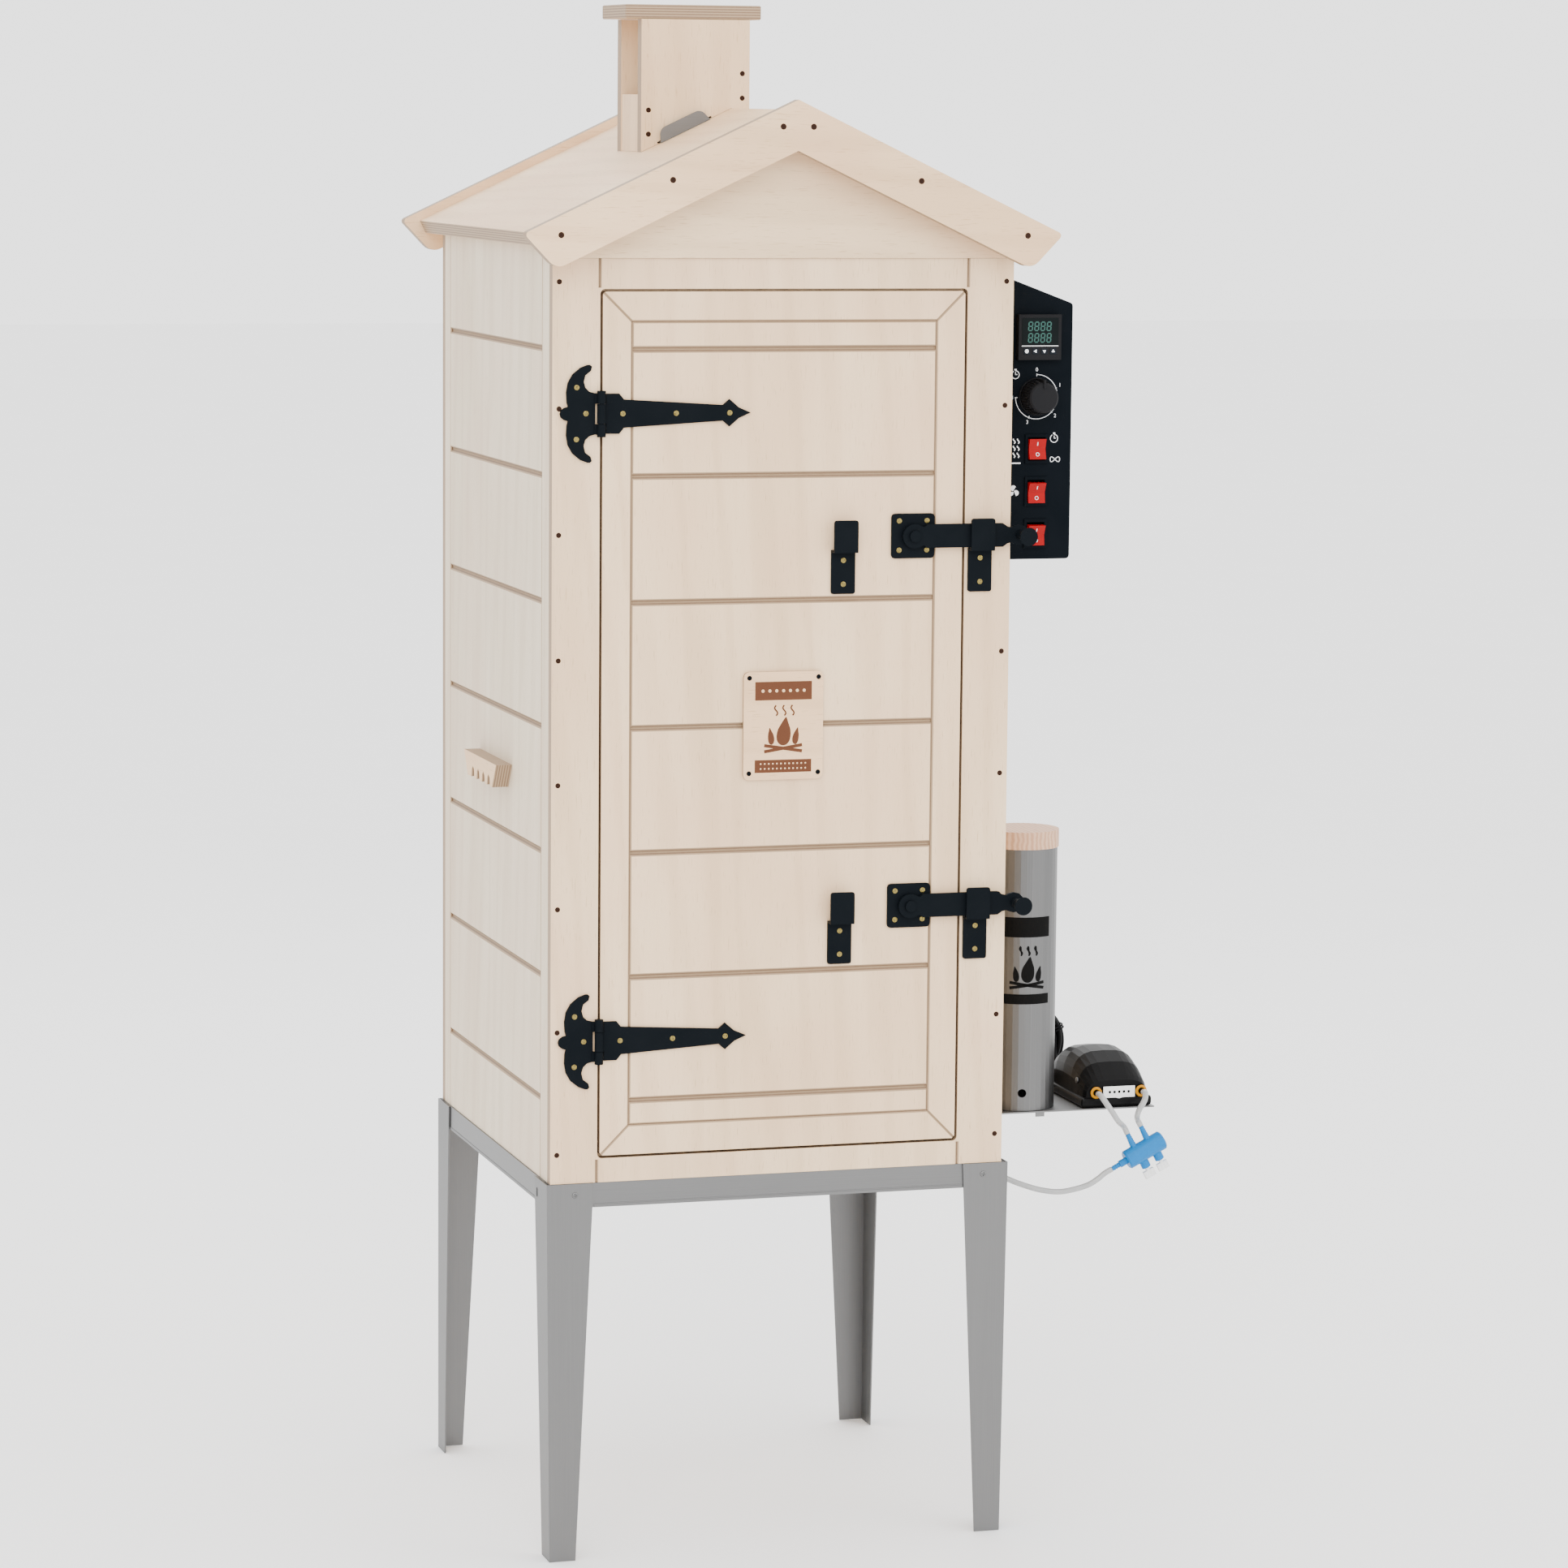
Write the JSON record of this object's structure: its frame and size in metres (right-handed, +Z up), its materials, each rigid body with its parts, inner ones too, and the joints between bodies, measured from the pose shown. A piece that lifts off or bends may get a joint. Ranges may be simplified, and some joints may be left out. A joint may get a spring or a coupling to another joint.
{
  "type": "electric cabinet smoker",
  "caption": "Tall plywood smoking cabinet on a folded steel stand, with a hinged door, swing-over latches, chimney damper, control box and an air-blown smoke generator.",
  "frame": {"origin": "on the floor under the centre of the object's box, which is measured without the hoses, their manifold and the pump lead", "axes": "+Z up; the door faces -Y; +X to the right of someone facing the door, towards the control box"},
  "size_m": [0.7655, 0.58, 1.636],
  "materials": {
    "birch_plywood": "sanded birch plywood, light clear oil",
    "stainless_sheet": "fine brushed stainless sheet",
    "black_powder_coat": "fine-textured black powder coat",
    "black_plastic": "moulded black plastic, satin to gloss",
    "black_lead": "black PVC mains lead and plug",
    "red_rocker": "translucent red moulded plastic",
    "turned_pine": "turned pine, unfinished",
    "clear_hose": "clear soft PVC hose, slightly milky",
    "blue_plastic": "moulded blue plastic",
    "white_plastic": "white moulded plastic",
    "stainless_rod": "drawn stainless rod"
  },
  "bodies": {
    "cabinet": {"front_frame": "birch_plywood", "side_panel_left": "birch_plywood", "side_panel_right": "birch_plywood", "back_panel": "birch_plywood", "floor_board": "birch_plywood", "gable_front": "birch_plywood", "roof_board_left": "birch_plywood", "roof_board_right": "birch_plywood", "fascia_front": "birch_plywood", "fascia_back": "birch_plywood", "chimney_front": "birch_plywood", "chimney_back": "birch_plywood", "chimney_side_left": "birch_plywood", "chimney_side_right": "birch_plywood", "chimney_cap": "birch_plywood", "hook_rack": "birch_plywood", "leg_front_left": "stainless_sheet", "leg_front_right": "stainless_sheet", "leg_back_left": "stainless_sheet", "leg_back_right": "stainless_sheet", "rail_front": "stainless_sheet", "rail_back": "stainless_sheet", "rail_left": "stainless_sheet", "rail_right": "stainless_sheet", "generator_shelf": "stainless_sheet", "generator_body": "stainless_sheet", "hinge_leaf_upper": "black_powder_coat", "hinge_leaf_lower": "black_powder_coat", "catch_upper": "black_powder_coat", "catch_lower": "black_powder_coat", "control_box": "black_powder_coat", "temperature_controller": "black_plastic", "air_pump": "black_plastic", "pump_lead": "black_lead", "pump_lead_coil": "black_lead", "pump_plug": "black_lead", "hose_1": "clear_hose", "hose_2": "clear_hose", "hose_3": "clear_hose", "air_manifold": "blue_plastic", "heater_element": "stainless_rod"},
    "door": {"door_panel": "birch_plywood", "hinge_strap_upper": "black_powder_coat", "hinge_strap_lower": "black_powder_coat", "latch_plate_upper": "black_powder_coat", "latch_plate_lower": "black_powder_coat", "park_hook_upper": "black_powder_coat", "park_hook_lower": "black_powder_coat", "name_plaque": "birch_plywood"},
    "latch_bar_upper_body": {"latch_bar_upper": "black_powder_coat"},
    "latch_bar_lower_body": {"latch_bar_lower": "black_powder_coat"},
    "damper": {"damper_plate": "stainless_sheet"},
    "timer": {"timer_knob": "black_plastic"},
    "switch_1": {"rocker_1": "red_rocker"},
    "switch_2": {"rocker_2": "red_rocker"},
    "switch_3": {"rocker_3": "red_rocker"},
    "lid": {"generator_lid": "turned_pine"},
    "rack": {"hanging_rack": "stainless_rod"},
    "valve_1": {"valve_knob_1": "white_plastic"},
    "valve_2": {"valve_knob_2": "white_plastic"}
  },
  "joints": [
    {"name": "door_hinge", "type": "hinge", "parent": "cabinet", "child": "door", "pos_m": [-0.28621, -0.2552, 0.8875], "axis": [0, 0, 1], "range_deg": [-165, 0]},
    {"name": "latch_pivot_upper", "type": "hinge", "parent": "door", "child": "latch_bar_upper_body", "pos_m": [0.05379, -0.2566, 1.0832], "axis": [0, -1, 0], "range_deg": [0, 180]},
    {"name": "latch_pivot_lower", "type": "hinge", "parent": "door", "child": "latch_bar_lower_body", "pos_m": [0.05379, -0.2566, 0.69], "axis": [0, -1, 0], "range_deg": [0, 180]},
    {"name": "damper_slide", "type": "slide", "parent": "cabinet", "child": "damper", "axis": [0, -1, 0], "range_m": [0, 0.06]},
    {"name": "timer_turn", "type": "hinge", "parent": "cabinet", "child": "timer", "pos_m": [0.20329, -0.212, 1.226], "axis": [0, 1, 0], "range_deg": [0, 270]},
    {"name": "rocker_1_tilt", "type": "hinge", "parent": "cabinet", "child": "switch_1", "pos_m": [0.20379, -0.209, 1.1706], "axis": [1, 0, 0], "range_deg": [-10, 10]},
    {"name": "rocker_2_tilt", "type": "hinge", "parent": "cabinet", "child": "switch_2", "pos_m": [0.20379, -0.209, 1.1254], "axis": [1, 0, 0], "range_deg": [-20, 0]},
    {"name": "rocker_3_tilt", "type": "hinge", "parent": "cabinet", "child": "switch_3", "pos_m": [0.20379, -0.209, 1.0802], "axis": [1, 0, 0], "range_deg": [-20, 0]},
    {"name": "lid_lift", "type": "slide", "parent": "cabinet", "child": "lid", "axis": [0, 0, 1], "range_m": [0, 0.08]},
    {"name": "rack_lift", "type": "slide", "parent": "cabinet", "child": "rack", "axis": [0, 0, 1], "range_m": [0, 0.06]},
    {"name": "valve_1_turn", "type": "hinge", "parent": "cabinet", "child": "valve_1", "pos_m": [0.36392, -0.16, 0.37335], "axis": [0.4602, 0, -0.8878], "range_deg": [0, 360]},
    {"name": "valve_2_turn", "type": "hinge", "parent": "cabinet", "child": "valve_2", "pos_m": [0.37937, -0.16, 0.38136], "axis": [0.4602, 0, -0.8878], "range_deg": [0, 360]}
  ]
}
